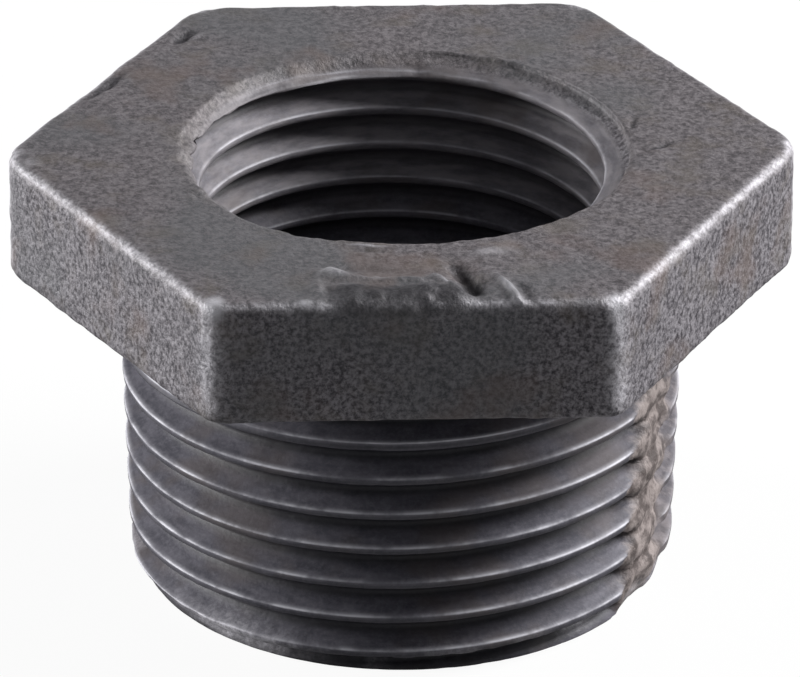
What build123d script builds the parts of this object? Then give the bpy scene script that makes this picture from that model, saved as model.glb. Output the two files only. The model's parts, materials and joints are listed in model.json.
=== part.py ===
"""Hex bushing of malleable cast iron, R 3/4 male by Rp 1/2 female, in one piece.

The casting is a hexagonal head on a tapered shank, bored right through. Both threads have
14 turns to the inch. Each turn of the male thread is modelled as a level ring with the
thread's true section, so its radii, pitch and depth are real and the rise of the helix is
left out. The bore is plain, at the radius of the female thread's crests.

The origin is the middle of the nose end, which the bushing stands on, and +Z runs up the
bore and out through the mouth in the head. Lengths are in millimetres.
"""

import math
import os

from build123d import *

# Hexagonal head
across_flats = 32.2
head_height = 6.0
corner_radius = 2.7
top_edge_radius = 0.6
under_edge_chamfer = 0.35

# Shank below the head, with a plain neck where the male thread runs out
shank_length = 14.9
neck_length = 1.6
neck_radius = 12.5

# Male thread: flanks 55 degrees apart, flats on crests and roots, and a taper towards the
# nose of 1 in 16 on its diameter
threads_per_inch = 14
flank_angle = 55.0
flat_share_of_pitch = 1 / 6
male_crest_radius = 13.2
male_taper = 1 / 16
nose_chamfer_height = 1.0
nose_chamfer_width = 0.6

# Bore, parallel, with a chamfer at the mouth in the head and one at the nose end
bore_radius = 9.4
mouth_chamfer_width = 0.95
mouth_chamfer_depth = 0.85
tail_chamfer = 0.8

pitch = 25.4 / threads_per_inch
land_width = pitch * flat_share_of_pitch
flank_width = pitch / 2 - land_width
flank_slope = 1 / math.tan(math.radians(flank_angle / 2))
thread_depth = flank_width * flank_slope
overall_length = shank_length + head_height


def crest_radius_at(height):
    """Radius over the male crests at a height: largest at the head, less by the taper below."""
    return male_crest_radius - (shank_length - height) * male_taper / 2


def land_heights(lowest_edge, highest_edge):
    """Middle heights of the crest lands, a pitch apart, that fit between two heights."""
    lowest = lowest_edge + land_width / 2
    room = highest_edge - land_width / 2 - lowest
    return [lowest + turn * pitch for turn in range(int(room / pitch) + 1)]


def thread_wall(heights):
    """Corners of the threaded wall, from its lowest crest land to its highest, as (radius, height).

    Between two lands the wall slopes in to a root flat and out again.
    """
    wall = []
    for height in heights:
        crest = crest_radius_at(height)
        root = crest_radius_at(height + pitch / 2) - thread_depth
        land_top = height + land_width / 2
        wall.append((crest, height - land_width / 2))
        wall.append((crest, land_top))
        wall.append((root, land_top + flank_width))
        wall.append((root, land_top + flank_width + land_width))
    return wall[:-2]


def turned_solid(wall):
    """Solid of revolution about Z inside a wall of (radius, height) corners, lowest first."""
    corners = [(0, wall[0][1])] + wall + [(0, wall[-1][1])]
    outline = Plane.XZ * Polyline(*corners, close=True)
    return revolve(make_face(outline), Axis.Z)


def make_shank():
    """Shank with its male thread, chamfered at the nose and plain at the neck."""
    thread = thread_wall(land_heights(nose_chamfer_height, shank_length - neck_length))
    nose = (crest_radius_at(nose_chamfer_height) - nose_chamfer_width, 0)
    last_crest, last_edge = thread[-1]
    neck_start = last_edge + (last_crest - neck_radius) / flank_slope
    inside_head = shank_length + head_height / 2
    neck = [(neck_radius, neck_start), (neck_radius, inside_head)]
    return turned_solid([nose] + thread + neck)


def make_head():
    """Hexagonal prism with rounded corners and top edge, and two of its flats facing +Y and -Y."""
    outline = RegularPolygon(across_flats / 2, 6, major_radius=False)
    outline = fillet(outline.vertices(), corner_radius)
    prism = Pos(0, 0, shank_length) * extrude(outline, head_height)
    prism = fillet(prism.faces().sort_by(Axis.Z)[-1].edges(), top_edge_radius)
    return chamfer(prism.faces().sort_by(Axis.Z)[0].edges(), under_edge_chamfer)


def make_bore():
    """Space inside the bushing: a plain bore between two chamfers."""
    tail = [(bore_radius + tail_chamfer, 0), (bore_radius, tail_chamfer)]
    mouth_floor = (bore_radius, overall_length - mouth_chamfer_depth)
    mouth = (bore_radius + mouth_chamfer_width, overall_length)
    return turned_solid(tail + [mouth_floor, mouth])


os.makedirs("parts", exist_ok=True)
bushing = make_head() + make_shank() - make_bore()
export_step(bushing, "parts/bushing.step")
print("bushing", round(bushing.volume, 1), "cubic mm,", len(bushing.solids()), "solid")
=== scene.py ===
"""Dressed model of the hex bushing: one casting with both real threads, its rough skin and its wear, and
painted highlights and shade.

Shapes are worked out in millimetres on grids of points and leave for the mesh in metres. The
axis of the bore is Z, the nose stands on z = 0, and angles turn about Z from +X, seen from above.
"""
import json
import math

import bpy
import numpy as np
from mathutils import Matrix, Vector


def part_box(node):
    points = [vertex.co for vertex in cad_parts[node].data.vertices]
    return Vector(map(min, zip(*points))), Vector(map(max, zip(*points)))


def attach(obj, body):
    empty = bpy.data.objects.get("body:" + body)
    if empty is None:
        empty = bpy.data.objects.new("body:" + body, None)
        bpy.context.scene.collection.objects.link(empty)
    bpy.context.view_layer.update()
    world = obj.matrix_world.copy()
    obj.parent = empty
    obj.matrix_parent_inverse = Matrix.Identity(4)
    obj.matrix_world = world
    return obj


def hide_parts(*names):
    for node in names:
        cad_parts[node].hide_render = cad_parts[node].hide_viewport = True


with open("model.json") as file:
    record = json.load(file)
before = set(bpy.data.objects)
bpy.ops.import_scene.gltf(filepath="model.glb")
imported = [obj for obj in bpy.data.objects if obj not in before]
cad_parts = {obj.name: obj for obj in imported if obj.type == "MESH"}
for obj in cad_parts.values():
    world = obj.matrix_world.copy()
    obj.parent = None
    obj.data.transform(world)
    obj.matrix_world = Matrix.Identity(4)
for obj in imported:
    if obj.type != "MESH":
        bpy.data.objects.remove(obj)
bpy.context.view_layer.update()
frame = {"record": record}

MM = 0.001

# ---------------------------------------------------------------------------------------
# Sizes, in millimetres
# ---------------------------------------------------------------------------------------
box_low, box_high = (np.array(corner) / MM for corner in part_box("bushing"))
mount = {entry["name"]: entry for entry in frame["record"]["mounts"]}

TOP = box_high[2]
APOTHEM = box_high[1]
HEAD_HEIGHT = 6.0
HEAD_FOOT = TOP - HEAD_HEIGHT
CORNER_RADIUS = 2.7
SHARP_CORNER_RADIUS = 1.1
TOP_EDGE = 0.6
FOOT_EDGE = 0.35
NECK_RADIUS = 12.5

PITCH = 25.4 / 14
THREAD_DEPTH = 0.64 * PITCH
LAND_SHARE = 1 / 6

MALE_CREST = 13.2
MALE_TAPER = 1 / 32
MALE_THREAD_END = 13.35
MALE_RUNOUT = (11.2, 12.2, 0.15)
NOSE_CHAMFER_HEIGHT = 1.0
NOSE_CHAMFER_WIDTH = 0.6

# Strip down the male thread that is worn away: where its middle is, and how deep the wear goes
STRIP_SIDE = math.radians(-29.5)
STRIP_LEFT, STRIP_RIGHT = (-6.5, -4.0), (8.0, 17.0)
STRIP_TOP = (13.0, 14.0)
STRIP_LEAN = 0.4
STRIP_BLANK_LOSS, STRIP_CREST_LOSS, STRIP_GROOVE_LOSS = 0.24, 0.1, 0.72

BORE = mount["female_thread"]["dims"]["r_mm"]
TAIL_CHAMFER = 0.8
MOUTH_DEPTH = 0.85

# Where the casting is seen from: the angle of the side turned to the viewer, and the height of a
# crest of each thread there
VIEW_SIDE = math.radians(-92.256)
MALE_CREST_HEIGHT = 12.055
FEMALE_CREST_HEIGHT = 17.406

# ---------------------------------------------------------------------------------------
# Numbers that vary over the surface
# ---------------------------------------------------------------------------------------


def ramp(start, end, value):
    """Smooth step: 0 at start, 1 at end, and 3t^2 - 2t^3 of the way t between them."""
    t = np.clip((value - start) / (end - start), 0, 1)
    return t * t * (3 - 2 * t)


def bell(distance, width):
    """Bell curve of a distance: 1 in the middle, exp(-(distance / width)^2) away from it."""
    return np.exp(-((distance / width) ** 2))


def lumps(points, cell, seed):
    """Value noise from -1 to 1: random numbers on a lattice of that cell, blended smoothly between."""
    low = points.min(0) - cell
    counts = np.ceil((points.max(0) - low) / cell).astype(int) + 2
    lattice = np.random.default_rng(seed).uniform(-1, 1, counts)
    place = (points - low) / cell
    corner = np.floor(place).astype(int)
    share = place - corner
    share = share * share * (3 - 2 * share)
    total = np.zeros(len(points))
    for step in np.ndindex(2, 2, 2):
        weight = np.prod(np.where(step, share, 1 - share), axis=1)
        total += weight * lattice[tuple((corner + step).T)]
    return total


def angle_from(angles, middle):
    """Signed angle from a middle, brought into -pi to pi."""
    return (angles - middle + math.pi) % (2 * math.pi) - math.pi


# ---------------------------------------------------------------------------------------
# The section of the casting, as radii at an angle and a height
# ---------------------------------------------------------------------------------------

# Mouth of the bore, as (degrees from the side turned to the viewer, radius of the rim)
MOUTH_RIM = ((0, 10.08), (44, 10.4), (66, 10.85), (104, 10.6), (141, 10.4), (200, 10.35),
             (223, 10.5), (256, 10.25), (300, 10.4), (329, 10.45), (347, 10.12))


def hexagon_reach(angles, apothem, corner):
    """Distance from the axis to a hexagon with rounded corners.

    Each sixth is folded onto one half flat. There the reach is apothem / cos(angle), and past
    the point where the corner's arc begins it is where the ray meets that arc's circle.
    """
    folded = np.abs(angles % (math.pi / 3) - math.pi / 6)
    corner = np.maximum(corner, 1e-3)
    flat = apothem / np.cos(folded)
    centre = (apothem - corner) / math.cos(math.pi / 6)
    off_axis = centre * np.sin(math.pi / 6 - folded)
    arc = centre * np.cos(math.pi / 6 - folded) + np.sqrt(np.maximum(corner**2 - off_axis**2, 0))
    arc_starts = np.arctan2((apothem - corner) * math.tan(math.pi / 6), apothem)
    return np.where(folded > arc_starts, arc, flat)


def head_corner(angles):
    """Radius of the head's corners: the usual one, and a sharper one at the two by the viewer's side."""
    near = np.abs(angle_from(angles, math.radians(-90))) < math.radians(60)
    return np.where(near, SHARP_CORNER_RADIUS, CORNER_RADIUS)


def thread_fill(turns):
    """Depth of a thread as a share, by the number of turns from a crest: 0 on crests, 1 in roots.

    Flats on crest and root join straight flanks. Three shifted copies are averaged, which
    rounds the edges of the flats.
    """
    def sharp(value):
        off_crest = np.abs((value + 0.5) % 1 - 0.5)
        return np.clip((off_crest - LAND_SHARE / 2) / (0.5 - LAND_SHARE), 0, 1)

    rounding = 0.022
    return (sharp(turns - rounding) + 2 * sharp(turns) + sharp(turns + rounding)) / 4


def crest_highlight_and_shade(turns):
    """Painted light on a thread crest: 1 for a painted highlight along its upper edge, half a land above its
    middle, and -1 for painted shade just below the middle.
    """
    off_crest = (turns + 0.5) % 1 - 0.5
    return bell(off_crest - LAND_SHARE / 2, 0.03) - bell(off_crest + LAND_SHARE / 4, 0.06)


def turns_from_crest(angles, heights, crest_height):
    """Turns above the right-handed crest line that passes crest_height on the viewer's side."""
    rise = crest_height + PITCH * angle_from(angles, VIEW_SIDE) / (2 * math.pi)
    return (heights - rise) / PITCH


def worn_strip(angles, heights):
    """How far the worn strip down the male thread holds, 0 to 1.

    It is about 18 degrees wide and leans with the height. Its left side is hooked by a sine of
    the thread's turns, and its right side fades out unevenly.
    """
    turns = turns_from_crest(angles, heights, MALE_CREST_HEIGHT)
    hook = 2.6 * np.sin(2 * math.pi * (turns + 0.30)) + 1.2 * np.sin(heights * 3.1)
    across = np.degrees(angle_from(angles, STRIP_SIDE)) - STRIP_LEAN * (heights - 6)
    left = ramp(*STRIP_LEFT, across + hook)
    right = 1 - ramp(*STRIP_RIGHT, across + 2.5 * np.sin(heights * 2.3 + 1))
    return left * right * (1 - ramp(*STRIP_TOP, heights))


def male_radius(angles, heights):
    """Radius of the threaded shank: a tapered blank less the groove, which fades out at the neck.

    MALE_RUNOUT is the height where the crests begin to sink, where they end, and by how much.
    """
    crest = MALE_CREST - (HEAD_FOOT - heights) * MALE_TAPER
    fade_starts, fade_ends, fade_depth = MALE_RUNOUT
    blank = crest - fade_depth * ramp(fade_starts, fade_ends, heights)
    neck = ramp(MALE_THREAD_END, MALE_THREAD_END + 0.5, heights)
    blank = blank * (1 - neck) + NECK_RADIUS * neck
    nose = crest - NOSE_CHAMFER_WIDTH * (1 - heights / NOSE_CHAMFER_HEIGHT)
    blank = np.minimum(blank, nose)
    strip = worn_strip(angles, heights)
    blank = blank - STRIP_BLANK_LOSS * strip
    depth = THREAD_DEPTH * (1 - STRIP_GROOVE_LOSS * strip)
    depth = depth * (1 - ramp(MALE_THREAD_END - 0.4, MALE_THREAD_END + 0.6, heights))
    depth = depth * ramp(-0.2, 0.5, heights)
    turns = turns_from_crest(angles, heights, MALE_CREST_HEIGHT)
    groove = crest - STRIP_CREST_LOSS * strip - depth * thread_fill(turns)
    return np.minimum(blank, groove)


def mouth_rim(angles):
    """Radius of the mouth's rim, from the list of stations round it, blended between them."""
    stations = np.radians([place for place, _ in MOUTH_RIM])
    return np.interp(angle_from(angles, VIEW_SIDE) % (2 * math.pi), stations,
                     [radius for _, radius in MOUTH_RIM], period=2 * math.pi)


def bore_radius(angles, heights):
    """Radius of the bore: crests at one size, a groove cut outwards, and a chamfer at each end."""
    groove = THREAD_DEPTH * thread_fill(turns_from_crest(angles, heights, FEMALE_CREST_HEIGHT))
    tail = TAIL_CHAMFER - heights
    mouth = (mouth_rim(angles) - BORE) * (1 - (TOP - heights) / MOUTH_DEPTH)
    return BORE + np.maximum(np.maximum(groove, tail), mouth)


# ---------------------------------------------------------------------------------------
# Mesh
# ---------------------------------------------------------------------------------------

# Columns in each sixth of the head, from the left-back one round through the front. A share of
# them at each end belongs to the rounded corner.
COLUMNS = (60, 80, 120, 100, 60, 60)
FIRST_ANGLE = math.radians(120)
CORNER_SHARE = 0.14


def column_angles(step=1):
    """Angles of the columns over one turn: even steps on each flat and finer ones at its corners."""
    half_flat = math.degrees(math.atan2((APOTHEM - CORNER_RADIUS) * math.tan(math.pi / 6), APOTHEM))
    angles = []
    for sixth, count in enumerate(COLUMNS):
        share = np.arange(0, count, step) / count
        across = np.interp(share, [0, CORNER_SHARE, 1 - CORNER_SHARE, 1], [-30, -half_flat, half_flat, 30])
        angles.append(np.radians(across + 60 * sixth + 30) + FIRST_ANGLE)
    return np.concatenate(angles)


class Skin:
    """Points and faces of one closed skin. Its rows follow the section and its columns the turn.

    The section runs up the bore, outwards over the head and down the shank, so the direction
    along it crossed with the direction of the turn points out of the metal.
    """

    def __init__(self):
        self.points = []
        self.faces = []
        self.count = 0

    def grid(self, angles, radii, heights):
        """Points at the angles, radii and heights given, and their numbers in the same layout."""
        angles, radii, heights = np.broadcast_arrays(angles, radii, heights)
        points = np.stack([radii * np.cos(angles), radii * np.sin(angles), heights], -1)
        numbers = self.count + np.arange(angles.size).reshape(angles.shape)
        self.points.append(points.reshape(-1, 3))
        self.count += angles.size
        return numbers

    def sheet(self, numbers):
        """Quads over a layout of numbers. A quad with one doubled corner becomes a triangle."""
        quads = np.stack([numbers[:-1, :-1], numbers[1:, :-1], numbers[1:, 1:], numbers[:-1, 1:]], -1)
        quads = quads.reshape(-1, 4)
        doubled = quads == np.roll(quads, -1, axis=1)
        self.faces.append(quads[~doubled.any(1)])
        for corner in range(4):
            pinched = quads[(doubled.sum(1) == 1) & doubled[:, corner]]
            self.faces.append(np.delete(pinched, corner, axis=1))

    def band(self, *rows):
        """Quads between rows that close on themselves, in the order of the section."""
        numbers = np.stack(rows)
        self.sheet(np.concatenate([numbers, numbers[:, :1]], axis=1))

    def refine(self, coarse, fine):
        """Three triangles for each step of a ring that is followed by one with twice its points."""
        first, half, second = fine[0::2], fine[1::2], np.roll(fine[0::2], -1)
        after = np.roll(coarse, -1)
        for trio in ((coarse, first, half), (coarse, half, after), (after, half, second)):
            self.faces.append(np.stack(trio, -1))

    def coarsen(self, fine, coarse):
        """Three triangles for each step of a ring that follows one with twice its points."""
        first, half, second = fine[0::2], fine[1::2], np.roll(fine[0::2], -1)
        after = np.roll(coarse, -1)
        for trio in ((first, coarse, half), (half, coarse, after), (half, after, second)):
            self.faces.append(np.stack(trio, -1))

    def helix(self, angles, radius, crest_height, ends, shares):
        """Layout of a wall whose rows run along a thread, between two (height, ring) ends.

        Row i at angle a has the height crest_height + pitch * (share_i + a / one turn). Points
        past an end are that end's own ring, and the last column is the first one a turn on.
        """
        (foot, bottom), (head, top) = ends
        turn = np.unwrap(angle_from(angles, VIEW_SIDE)) / (2 * math.pi)
        lowest = math.floor((foot - crest_height) / PITCH - turn.max()) - 1
        highest = math.ceil((head - crest_height) / PITCH - turn.min()) + 1
        rows = (np.arange(lowest, highest)[:, None] + np.array(shares)).ravel()
        heights = crest_height + PITCH * (rows[:, None] + turn)
        inside = np.clip(heights, foot, head)
        numbers = self.grid(angles, radius(angles, inside), inside)
        numbers = np.where(heights < foot + SLIVER, bottom, numbers)
        numbers = np.where(heights > head - SLIVER, top, numbers)
        after = np.append(numbers[len(shares):, 0], np.full(len(shares), top[0]))
        return np.concatenate([numbers, after[:, None]], axis=1)

    def finished(self):
        """All points that a face uses, and the faces renumbered to match, as arrays of one width each."""
        points = np.concatenate(self.points)
        used = np.unique(np.concatenate([faces.ravel() for faces in self.faces]))
        renumbered = np.zeros(len(points), int)
        renumbered[used] = np.arange(len(used))
        return points[used], [renumbered[faces] for faces in self.faces if len(faces)]


# Heights of a thread's rows as shares of a turn, closest together at the crest's edges
MALE_ROWS = (0, 0.035, 0.06, 0.083, 0.11, 0.16, 0.29, 0.41, 0.5, 0.59, 0.71, 0.83, 0.915, 0.96)
FEMALE_ROWS = (0, 0.04, 0.083, 0.12, 0.22, 0.36, 0.5, 0.64, 0.78, 0.9, 0.95)
SLIVER = 0.03
THROAT_HEIGHT = TOP - 0.9
NECK_FOOT = HEAD_FOOT - 0.25


def head_side():
    """(inset, height) down the head's side: a rounded top edge, the flat and a small rounded foot."""
    top_turn = np.linspace(0, math.pi / 2, 9)[1:]
    flat = np.linspace(TOP - TOP_EDGE, HEAD_FOOT + FOOT_EDGE, 25)[1:]
    foot_turn = np.linspace(0, math.pi / 2, 4)[1:]
    insets = np.concatenate([TOP_EDGE * (1 - np.sin(top_turn)), 0 * flat,
                             FOOT_EDGE * (1 - np.cos(foot_turn))])
    heights = np.concatenate([TOP - TOP_EDGE * (1 - np.cos(top_turn)), flat,
                              HEAD_FOOT + FOOT_EDGE * (1 - np.sin(foot_turn))])
    return insets[:, None], heights[:, None]


def clean_skin():
    """Points and faces of the whole casting before its roughness, one section swept round the bore."""
    skin = Skin()
    coarse, fine = column_angles(2), column_angles(1)
    level = np.ones_like(coarse)

    tail = skin.grid(coarse, bore_radius(coarse, 0 * level), 0)
    heights = np.linspace(THROAT_HEIGHT, TOP, 11)[:-1, None]
    mouth = skin.grid(coarse, bore_radius(coarse[None], heights), heights)
    skin.sheet(skin.helix(coarse, bore_radius, FEMALE_CREST_HEIGHT,
                          ((0, tail), (THROAT_HEIGHT, mouth[0])), FEMALE_ROWS))
    skin.band(*mouth)

    rim = bore_radius(fine, TOP + 0 * fine)
    corner = head_corner(fine)
    brow = hexagon_reach(fine, APOTHEM - TOP_EDGE, corner - TOP_EDGE)
    face = skin.grid(fine, rim + (brow - rim) * np.linspace(0, 1, 36)[:, None], TOP)
    insets, heights = head_side()
    side = skin.grid(fine, hexagon_reach(fine, APOTHEM - insets, corner - insets), heights)
    foot = hexagon_reach(fine, APOTHEM - FOOT_EDGE, corner - FOOT_EDGE)
    under = skin.grid(fine, foot + (NECK_RADIUS - foot) * np.array([[0.25], [0.5], [0.75]]), HEAD_FOOT)
    skin.refine(mouth[-1], face[0])
    skin.band(*face, *side, *under)

    crease = skin.grid(coarse, NECK_RADIUS, HEAD_FOOT)
    neck = skin.grid(coarse, male_radius(coarse, NECK_FOOT * level), NECK_FOOT)
    nose = male_radius(coarse, 0 * level)
    hole = bore_radius(coarse, 0 * level)
    lip = skin.grid(coarse, nose + (hole - nose) * np.linspace(0, 0.8, 5)[:, None], 0)
    skin.coarsen(under[-1], crease)
    skin.band(crease, neck)
    skin.sheet(skin.helix(coarse, male_radius, MALE_CREST_HEIGHT,
                          ((0, lip[0]), (NECK_FOOT, neck)), MALE_ROWS)[::-1])
    skin.band(*lip, tail)
    return skin.finished()


def outward(points, faces):
    """Unit normal of each point: the sum of its faces' normals, each as large as its face."""
    total = np.zeros_like(points)
    for group in faces:
        corners = points[group]
        if group.shape[1] == 4:
            area = np.cross(corners[:, 2] - corners[:, 0], corners[:, 3] - corners[:, 1])
        else:
            area = np.cross(corners[:, 1] - corners[:, 0], corners[:, 2] - corners[:, 0])
        for axis in range(3):
            shared = np.repeat(area[:, axis], group.shape[1])
            total[:, axis] += np.bincount(group.ravel(), shared, len(points))
    return total / np.maximum(np.linalg.norm(total, axis=1, keepdims=True), 1e-12)


# ---------------------------------------------------------------------------------------
# Marks of casting and use, and painted highlights and shade
# ---------------------------------------------------------------------------------------

# Where the gate was broken off at the front flat's top edge, and scars near it, as
# (x, y, z, half length, half width, degrees from +X, rise, painted light). The last is a painted highlight
# above 0 and painted shade below it.
GATE_MARKS = (
    (-3.6, -13.2, 20.9, 0.70, 0.42, -22, 0.42, 0.50),
    (-4.35, -14.5, 20.8, 0.25, 1.00, 0, 0.22, 0.15),
    (-3.1, -14.6, 20.7, 0.60, 0.45, 0, 0.16, -0.1),
    (-1.7, -13.75, 20.9, 1.20, 0.26, -6, 0.20, 0.35),
    (-0.1, -13.95, 20.9, 0.80, 0.24, -4, 0.14, 0.10),
    (0.9, -13.75, 20.9, 0.35, 0.30, 0, 0.16, 0.20),
    (1.6, -14.5, 20.8, 0.85, 0.20, -62, 0.30, 0.90),
    (2.15, -12.9, 20.9, 0.75, 0.42, -65, -0.55, -1.2),
    (2.65, -14.3, 20.9, 0.80, 0.50, -80, -0.60, -1.2),
    (3.0, -13.7, 20.85, 0.35, 0.22, 60, 0.22, 0.30),
    (3.2, -14.8, 20.7, 0.55, 0.32, -60, 0.18, 0.25),
    (4.3, -14.9, 20.85, 1.25, 0.20, -70, 0.34, 0.65),
    (4.9, -15.0, 20.9, 1.00, 0.24, -70, -0.14, -0.3),
    (-2.2, -12.6, 20.9, 1.20, 0.30, -10, -0.12, -0.30),
    (-2.4, -15.3, 20.8, 1.30, 0.85, 0, 0.32, -1.3),
    (0.3, -15.3, 20.8, 1.50, 0.85, 0, 0.32, -1.3),
    (1.9, -15.6, 20.7, 0.50, 0.60, 0, 0.20, -0.8),
    (-1.9, -10.25, 20.9, 1.00, 0.14, -10, 0.06, 0.55),
    (-2.0, -10.65, 20.9, 0.85, 0.20, -8, -0.14, -0.45),
    (3.7, -11.0, 20.9, 1.20, 0.55, 12, 0.04, 0.38),
    (-4.9, -15.75, 20.7, 0.45, 0.25, 0, 0.05, 0.80),
)

# Nicks and bruises elsewhere on the head, in the same form: painted shade in the nicks, and painted
# highlights beside them, on corners of the head and at the mouth
HEAD_SCARS = (
    (-13.7, 7.2, 20.9, 1.6, 0.36, 56, -0.32, -1.2),
    (-14.3, 6.5, 20.9, 0.7, 0.22, 56, 0.12, 0.5),
    (-9.8, 12.6, 20.9, 0.8, 0.36, 56, -0.30, -1.2),
    (-9.3, 12.3, 20.9, 0.5, 0.20, 56, 0.12, 0.4),
    (12.0, -0.2, 20.9, 1.1, 0.17, 35, -0.10, -0.8),
    (10.9, 2.4, 20.9, 0.9, 0.18, 80, -0.12, -0.8),
    (-9.0, -15.7, 20.6, 0.50, 0.60, 0, -0.06, 1.1),
    (9.0, -15.8, 20.4, 0.40, 0.60, 0, -0.06, 0.8),
    (-3.7, 8.6, 20.1, 1.1, 0.16, 24, 0.05, 1.2),
    (-1.1, 9.33, 20.15, 1.7, 0.12, 5, 0.0, 0.7),
    (-17.1, -0.9, 20.5, 0.6, 0.6, 0, -0.06, 0.5),
    (6.9, -8.6, 20.9, 1.0, 0.5, 40, -0.08, -0.2),
)


def mark_field(points, marks):
    """Rise and painted light of a list of marks, a highlight where above 0 and shade where below: each a bell
    along its length, its width and its height.
    """
    rise, shine = np.zeros(len(points)), np.zeros(len(points))
    for x, y, z, half_length, half_width, degrees, height, painted_light in marks:
        ahead = np.array([math.cos(math.radians(degrees)), math.sin(math.radians(degrees))])
        off = points - (x, y, z)
        along = off[:, :2] @ ahead
        across = np.hypot(off[:, 0] * -ahead[1] + off[:, 1] * ahead[0], off[:, 2])
        reach = bell(along, half_length) * bell(across, half_width)
        rise += height * reach
        shine += painted_light * reach
    return rise, shine


def as_cast(angles, radii, heights):
    """1 on the head's rough cast skin, 0 on the cut bore, threads and nose.

    The skin ends in the outer part of the mouth's chamfer, half a millimetre inside its rim.
    """
    lowest = np.where(radii < 0.5 * (BORE + NECK_RADIUS), TOP - 1, NECK_FOOT)
    return ramp(-0.65, -0.35, radii - mouth_rim(angles)) * ramp(lowest, lowest + 0.25, heights)


def crumbled_mouth(angles, radii, heights):
    """Share of the mouth's chamfer that is broken and lumpy: most on the left, less at the back."""
    left = bell(angle_from(angles, math.radians(172)), math.radians(46))
    back = bell(angle_from(angles, math.radians(80)), math.radians(25))
    round_it = left + 0.45 * back
    return round_it * bell(radii - mouth_rim(angles) + 0.35, 0.7) * ramp(TOP - 1.3, TOP - 0.7, heights)


def edge_wear_and_highlight(angles, radii, heights):
    """Up to 1 along the head's edges, painted lighter as partly rubbed metal and partly painted highlight: a
    line round its top and one down each corner.
    """
    inset = hexagon_reach(angles, APOTHEM, head_corner(angles)) - radii
    brow = 0.8 * bell(inset + heights - TOP, 0.3) * bell(inset + TOP - heights - 0.4, 0.3)
    folded = math.pi / 6 - np.abs(angles % (math.pi / 3) - math.pi / 6)
    corner = 0.9 * bell(folded, math.radians(1.6)) * bell(inset, 0.5)
    corner = corner * ramp(HEAD_FOOT, HEAD_FOOT + 1, heights)
    return np.clip(brow + corner, 0, 1)


def dressed_skin():
    """The casting's points with their roughness, its faces, and the values its finish reads at each point.

    Each point moves along its normal by the sum of a slow swell, a fine grain, the marks, and the
    lumps of the worn strip, the crumbled mouth, the nose's edge and the cut surfaces.
    """
    points, faces = clean_skin()
    angles, radii = np.arctan2(points[:, 1], points[:, 0]), np.hypot(points[:, 0], points[:, 1])
    heights = points[:, 2]
    cast = as_cast(angles, radii, heights)
    on_shank = (radii > 11) & (heights < NECK_FOOT)
    strip = np.where(on_shank, worn_strip(angles, heights), 0)
    crumbled = crumbled_mouth(angles, radii, heights)
    rise, shine = mark_field(points, GATE_MARKS + HEAD_SCARS)

    swell = 0.03 * lumps(points, 5.0, 11) + 0.02 * lumps(points, 1.7, 12)
    grain = 0.028 * lumps(points, 0.62, 13) + 0.026 * lumps(points, 0.36, 14)
    gate = ramp(0.03, 0.25, np.abs(rise))
    offset = cast * (swell + grain * (1 + 2.2 * gate) + rise)
    offset += strip * (0.20 * lumps(points, 1.1, 15) + 0.12 * lumps(points, 0.55, 16))
    offset += crumbled * (0.22 * lumps(points, 0.8, 17) + 0.15 * lumps(points, 0.42, 18))
    offset += 0.06 * bell(heights - 0.95, 0.4) * on_shank * lumps(points, 0.5, 24)
    offset += (1 - cast) * (0.014 * lumps(points, 0.9, 19) + 0.012 * lumps(points, 0.45, 22))
    points = points + offset[:, None] * outward(points, faces)
    points[:, 2] = np.maximum(points[:, 2], 0)

    worn_arc = 1.3 * bell(angle_from(angles, math.radians(-131)), 0.24)
    worn_arc = worn_arc + 0.5 * ramp(0, 0.6, lumps(points, 1.5, 21))
    nose_wear = 1.2 * bell(heights - 0.75, 0.55) * on_shank * worn_arc
    nose_wear = nose_wear * (0.55 + 0.45 * lumps(points, 0.4, 23))
    rubbed_side = 0.35 * bell(angle_from(angles, math.radians(-10)), 0.25)
    male_turns = turns_from_crest(angles, heights, MALE_CREST_HEIGHT)
    female_turns = turns_from_crest(angles, heights, FEMALE_CREST_HEIGHT)
    male, female = thread_fill(male_turns), thread_fill(female_turns)
    # Painted highlight along each crest's upper edge and painted shade just under it, none on the worn strip
    male_crest_painted_light, female_crest_painted_light = crest_highlight_and_shade(male_turns) * (1 - strip), 0.6 * crest_highlight_and_shade(female_turns)
    values = {
        "cast": cast,
        "strip": np.where(on_shank, np.maximum(strip, rubbed_side), 0),
        "crumbled": np.clip(crumbled, 0, 1),
        "shine": shine * ramp(HEAD_FOOT, HEAD_FOOT + 1, heights),
        "groove": np.where(on_shank, male, np.where(cast < 0.5, female, 0.5)),
        # Share of the upper bore wall that is painted lighter
        "bore": (radii < 0.5 * (BORE + NECK_RADIUS)) * ramp(TOP - 9, TOP - 5, heights),
        "side": np.maximum(cast * ramp(TOP - 0.3, TOP - 0.6, heights), ramp(0.2, 0.8, -shine)),
        "ledge": np.where(on_shank, male_crest_painted_light, female_crest_painted_light) * (1 - cast),
        "edge": edge_wear_and_highlight(angles, radii, heights) * (0.7 + 0.3 * lumps(points, 0.6, 20)) + nose_wear,
    }
    return points, faces, values


def mesh_piece(name, points, faces, values):
    """A smooth mesh object at the origin, in metres, with one attribute per named value."""
    mesh = bpy.data.meshes.new(name)
    mesh.from_pydata(points * MM, [], [face for group in faces for face in group.tolist()])
    mesh.polygons.foreach_set("use_smooth", np.ones(len(mesh.polygons), bool))
    for label, numbers in values.items():
        mesh.attributes.new(label, "FLOAT", "POINT").data.foreach_set("value", numbers.astype(np.float32))
    mesh.update()
    piece = bpy.data.objects.new(name, mesh)
    bpy.context.scene.collection.objects.link(piece)
    return piece


# ---------------------------------------------------------------------------------------
# Finishes
# ---------------------------------------------------------------------------------------


def colour(code):
    """Linear colour from a screen colour of six hex digits: each share is raised to the power 2.2."""
    return tuple((int(code[place:place + 2], 16) / 255) ** 2.2 for place in (0, 2, 4)) + (1.0,)


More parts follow.
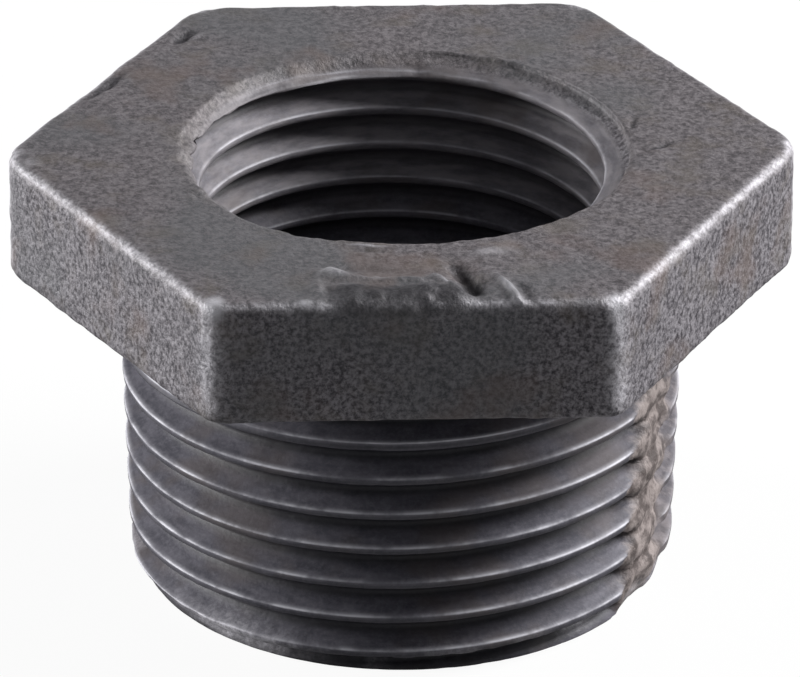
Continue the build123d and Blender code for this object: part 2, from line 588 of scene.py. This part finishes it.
class Wire:
    """A socket of a material's nodes. Its operators add the Math nodes that work a value out."""

    def __init__(self, tree, socket=None):
        self.tree = tree
        self.socket = socket

    def node(self, kind, settings=None, inputs=None, output=0):
        """Any node: its settings are set first, then its inputs, by name or place, from numbers or wires."""
        made = self.tree.nodes.new(kind)
        for name, setting in (settings or {}).items():
            if name == "stops":
                made.color_ramp.elements[0].position, made.color_ramp.elements[0].color = setting[0]
                made.color_ramp.elements[1].position, made.color_ramp.elements[1].color = setting[-1]
                for place, tone in setting[1:-1]:
                    made.color_ramp.elements.new(place).color = tone
            else:
                setattr(made, name, setting)
        for name, value in (inputs or {}).items():
            if isinstance(value, Wire):
                self.tree.links.new(value.socket, made.inputs[name])
            else:
                made.inputs[name].default_value = value
        return Wire(self.tree, made.outputs[output] if made.outputs else None)

    def maths(self, operation, *values):
        """One Math node of the operation on the values."""
        return self.node("ShaderNodeMath", {"operation": operation}, dict(enumerate(values)))

    def __add__(self, other):
        return self.maths("ADD", self, other)

    def __radd__(self, other):
        return self.maths("ADD", other, self)

    def __sub__(self, other):
        return self.maths("SUBTRACT", self, other)

    def __rsub__(self, other):
        return self.maths("SUBTRACT", other, self)

    def __mul__(self, other):
        return self.maths("MULTIPLY", self, other)

    def __rmul__(self, other):
        return self.maths("MULTIPLY", other, self)

    def within(self, low, high):
        """Smooth 0 to 1 as the value goes from low to high."""
        return self.node("ShaderNodeMapRange", {"interpolation_type": "SMOOTHSTEP"},
                         {"Value": self, "From Min": low, "From Max": high})

    def noise(self, size, detail=2.0, roughness=0.5, stretch=(1, 1, 1)):
        """Noise on the object's own coordinates, whose lumps lie about size millimetres apart."""
        place = self.node("ShaderNodeTexCoord", output="Object")
        place = place.node("ShaderNodeMapping", inputs={"Vector": place, "Scale": stretch})
        return place.node("ShaderNodeTexNoise", inputs={"Vector": place, "Scale": 1 / (size * MM),
                                                        "Detail": detail, "Roughness": roughness})

    def attribute(self, name):
        """The value that the mesh holds at each point under a name."""
        return self.node("ShaderNodeAttribute", {"attribute_name": name}, output="Fac")

    def blend(self, share, first, second):
        """The first colour where the share is 0, the second where it is 1."""
        return self.node("ShaderNodeMix", {"data_type": "RGBA"}, {0: share, 6: first, 7: second}, output=2)


def new_material(name):
    """An empty node material, and a wire to build with."""
    material = bpy.data.materials.new(name)
    material.use_nodes = True
    material.node_tree.nodes.clear()
    return material, Wire(material.node_tree)


def finish_material(wire, shader):
    """Sends a shader to the material's output."""
    wire.node("ShaderNodeOutputMaterial", inputs={"Surface": shader})


def cast_iron():
    """Dark oxidised iron: speckled sand-cast skin on the head, oily cut threads and bare worn spots. Painted
    highlights lie on the head's edges, the thread crests and the marks, the upper bore wall is painted
    lighter, painted shade darkens the crests' undersides and the nicks, and painted shade with some grime
    darkens the thread roots.
    """
    material, wire = new_material("cast_iron")
    cast, strip, groove = wire.attribute("cast"), wire.attribute("strip"), wire.attribute("groove")
    shine, crumbled, edge = wire.attribute("shine"), wire.attribute("crumbled"), wire.attribute("edge")
    ledge, side, bore = wire.attribute("ledge"), wire.attribute("side"), wire.attribute("bore")

    speckle = wire.noise(0.26, 4.0, 0.75)
    blotch = wire.noise(0.7, 3.0, 0.6)
    patch = wire.noise(2.4, 4.0, 0.6)
    cloud = wire.noise(11.0, 2.0, 0.5)
    stain = wire.noise(5.0, 3.0, 0.6)
    skin = wire.blend(speckle.within(0.33, 0.67), colour("4f4b4e"), colour("827d80"))
    flank = wire.blend(speckle.within(0.35, 0.65), colour("38343a"), colour("949095"))
    skin = wire.blend(side, skin, flank)
    skin = wire.blend(patch.within(0.50, 0.72) * 0.45, skin, colour("6c645c"))
    skin = wire.blend(cloud.within(0.45, 0.62) * 0.45, skin, colour("5f6265"))
    skin = wire.blend(stain.within(0.54, 0.70) * 0.35, skin, colour("74625b"))

    brushed = wire.noise(0.6, 3.0, 0.6, stretch=(0.35, 0.35, 2.2))
    cut = wire.blend(brushed.within(0.3, 0.7), colour("4c4b54"), colour("66646d"))
    # Painted light: the upper bore wall takes a lighter copy of the cut metal
    lit_wall = wire.blend(brushed.within(0.3, 0.7), colour("6e6b70"), colour("9a9598"))
    cut = wire.blend(bore * 0.8, cut, lit_wall)
    cut = wire.blend(speckle.within(0.4, 0.7) * 0.35, cut, colour("85838c"))
    cut = wire.blend(stain.within(0.50, 0.66) * 0.5, cut, colour("625956"))
    # Painted shade, with some grime, darkening the thread roots
    cut = wire.blend(groove.within(0.60, 1.0) * 0.75, cut, colour("1d1c20"))
    # Painted shade just under each crest's middle, then a painted highlight along its upper edge
    cut = wire.blend((0 - ledge).within(0.0, 1.0) * 0.5, cut, colour("2a292e"))
    cut = wire.blend(ledge.within(0.0, 1.0) * (0.15 + 0.85 * patch.within(0.35, 0.62)), cut, colour("cfced6"))

    rubbed = wire.blend(blotch.within(0.38, 0.62), colour("574e4c"), colour("9a8f8c"))
    tone = wire.blend(cast, cut, skin)
    tone = wire.blend(strip, tone, rubbed)
    # The head's edges and the nose's worn arc painted lighter: rubbed bare metal, and on the head's edges a
    # painted highlight too
    tone = wire.blend(edge * (0.45 + 0.75 * speckle.within(0.35, 0.65)), tone, colour("dedbe2"))
    broken = wire.blend(speckle.within(0.3, 0.7), colour("4b4648"), colour("8d8686"))
    tone = wire.blend(crumbled * 0.55, tone, broken)
    # Painted highlights on the marks' lumps and edges, and painted shade in their nicks and pits
    tone = wire.blend(shine.within(0.05, 0.9), tone, colour("cfcdd3"))
    tone = wire.blend((0 - shine).within(0.05, 0.8) * 0.72, tone, colour("302e31"))

    rough = 0.58 + 0.04 * strip + 0.14 * (brushed - 0.5) - 0.14 * edge - 0.08 * shine.within(0.1, 0.8)
    metal = 0.12 + 0.08 * cast - 0.06 * strip

    fine = wire.noise(0.22, 2.0, 0.6)
    bump = speckle * 0.6 + fine * 0.4
    normal = wire.node("ShaderNodeBump", {}, {"Strength": 1.0, "Distance": 0.12 * MM,
                                              "Height": bump * (0.2 + 0.6 * cast + 0.4 * strip)})
    finish_material(wire, wire.node("ShaderNodeBsdfPrincipled", inputs={
        "Base Color": tone, "Roughness": rough, "Metallic": metal, "Normal": normal}))
    return material


def white_ground():
    """Pale floor that takes the casting's shadow, and shows as white to the eye and in reflections."""
    material, wire = new_material("white_ground")
    path = wire.node("ShaderNodeLightPath", output="Is Camera Ray")
    gloss = wire.node("ShaderNodeLightPath", output="Is Glossy Ray")
    pale = wire.blend(path, colour("8c8c8c"), colour("f6f6f6"))
    matt = wire.node("ShaderNodeBsdfDiffuse", inputs={"Color": pale})
    glow = wire.node("ShaderNodeEmission", inputs={"Color": (1, 1, 1, 1), "Strength": 1.0})
    seen = path.maths("MAXIMUM", path, gloss * 0.15)
    finish_material(wire, wire.node("ShaderNodeMixShader", inputs={0: seen * 0.94, 1: matt, 2: glow}))
    return material


# ---------------------------------------------------------------------------------------
# The casting
# ---------------------------------------------------------------------------------------

casting = mesh_piece("hex_bushing_casting", *dressed_skin())
casting.data.materials.append(cast_iron())
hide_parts("bushing")
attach(casting, "root")

# ---------------------------------------------------------------------------------------
# Floor, light and camera
# ---------------------------------------------------------------------------------------


def make_floor():
    """A level square a metre and a half wide, just under the nose."""
    half, level = 750.0, -0.02
    corners = np.array([(-half, -half, level), (half, -half, level),
                        (half, half, level), (-half, half, level)])
    floor = mesh_piece("floor", corners, [np.array([[0, 1, 2, 3]])], {})
    floor.data.materials.append(white_ground())


def soft_box(name, place, aim, width, height, power):
    """A rectangular lamp at a place in millimetres, turned to face its aim."""
    lamp = bpy.data.lights.new(name, "AREA")
    lamp.shape = "RECTANGLE"
    lamp.size, lamp.size_y, lamp.energy = width * MM, height * MM, power
    holder = bpy.data.objects.new(name, lamp)
    bpy.context.scene.collection.objects.link(holder)
    place, aim = Vector(place) * MM, Vector(aim) * MM
    turn = (aim - place).to_track_quat("-Z", "Y").to_matrix().to_4x4()
    holder.matrix_world = Matrix.Translation(place) @ turn


def around(degrees, elevation, distance):
    """A place at a bearing from the viewer's side, an elevation and a distance from the casting's middle."""
    bearing, lift = VIEW_SIDE + math.radians(degrees), math.radians(elevation)
    return (distance * math.cos(lift) * math.cos(bearing), distance * math.cos(lift) * math.sin(bearing),
            distance * math.sin(lift) + TOP / 2)


def make_lights():
    """Two soft boxes, left and right of the casting and a little behind it, and a weak sky."""
    middle = (0, 0, TOP / 2)
    soft_box("left_box", around(-103, 10, 330), middle, 150, 120, 1.35)
    soft_box("right_box", around(103, 32, 330), middle, 150, 200, 1.75)
    world = bpy.data.worlds.new("sky")
    world.use_nodes = True
    world.node_tree.nodes.clear()
    wire = Wire(world.node_tree)
    camera_ray = wire.node("ShaderNodeLightPath", output="Is Camera Ray")
    dim = wire.node("ShaderNodeBackground", inputs={"Color": (0.95, 0.97, 1, 1), "Strength": 0.14})
    white = wire.node("ShaderNodeBackground", inputs={"Color": (1, 1, 1, 1), "Strength": 1.0})
    mixed = wire.node("ShaderNodeMixShader", inputs={0: camera_ray, 1: dim, 2: white})
    wire.node("ShaderNodeOutputWorld", inputs={"Surface": mixed})
    bpy.context.scene.world = world


# The picture is 800 by 677 points, and the lens is given in those points
PICTURE_WIDTH, PICTURE_HEIGHT = 800, 677
LENS_POINTS = 9185.8
AXIS_POINT = (401.34, 301.84)
CAMERA_ELEVATION = math.radians(26.623)
CAMERA_ROLL = math.radians(0.154)
CAMERA_DISTANCE = 428.54
LOOKS_AT = (0, 0, TOP - 8.0)


def make_camera():
    """A long lens on the viewer's side, looking down at the head, shifted to the picture's frame."""
    data = bpy.data.cameras.new("camera")
    data.sensor_width = 36.0
    data.lens = LENS_POINTS / PICTURE_WIDTH * data.sensor_width
    data.shift_x = (PICTURE_WIDTH / 2 - AXIS_POINT[0]) / PICTURE_WIDTH
    data.shift_y = (AXIS_POINT[1] - PICTURE_HEIGHT / 2) / PICTURE_WIDTH
    data.clip_start, data.clip_end = 10 * MM, 5000 * MM
    camera = bpy.data.objects.new("camera", data)
    bpy.context.scene.collection.objects.link(camera)
    back = Vector((math.cos(CAMERA_ELEVATION) * math.cos(VIEW_SIDE),
                   math.cos(CAMERA_ELEVATION) * math.sin(VIEW_SIDE), math.sin(CAMERA_ELEVATION)))
    right = Vector((-math.sin(VIEW_SIDE), math.cos(VIEW_SIDE), 0))
    up = back.cross(right)
    turned_right = right * math.cos(CAMERA_ROLL) + up * math.sin(CAMERA_ROLL)
    turned_up = up * math.cos(CAMERA_ROLL) - right * math.sin(CAMERA_ROLL)
    place = (Vector(LOOKS_AT) + back * CAMERA_DISTANCE) * MM
    turn = Matrix((turned_right, turned_up, back)).transposed().to_4x4()
    camera.matrix_world = Matrix.Translation(place) @ turn
    bpy.context.scene.camera = camera


make_floor()
make_lights()
make_camera()
bpy.context.scene.view_settings.view_transform = "Standard"
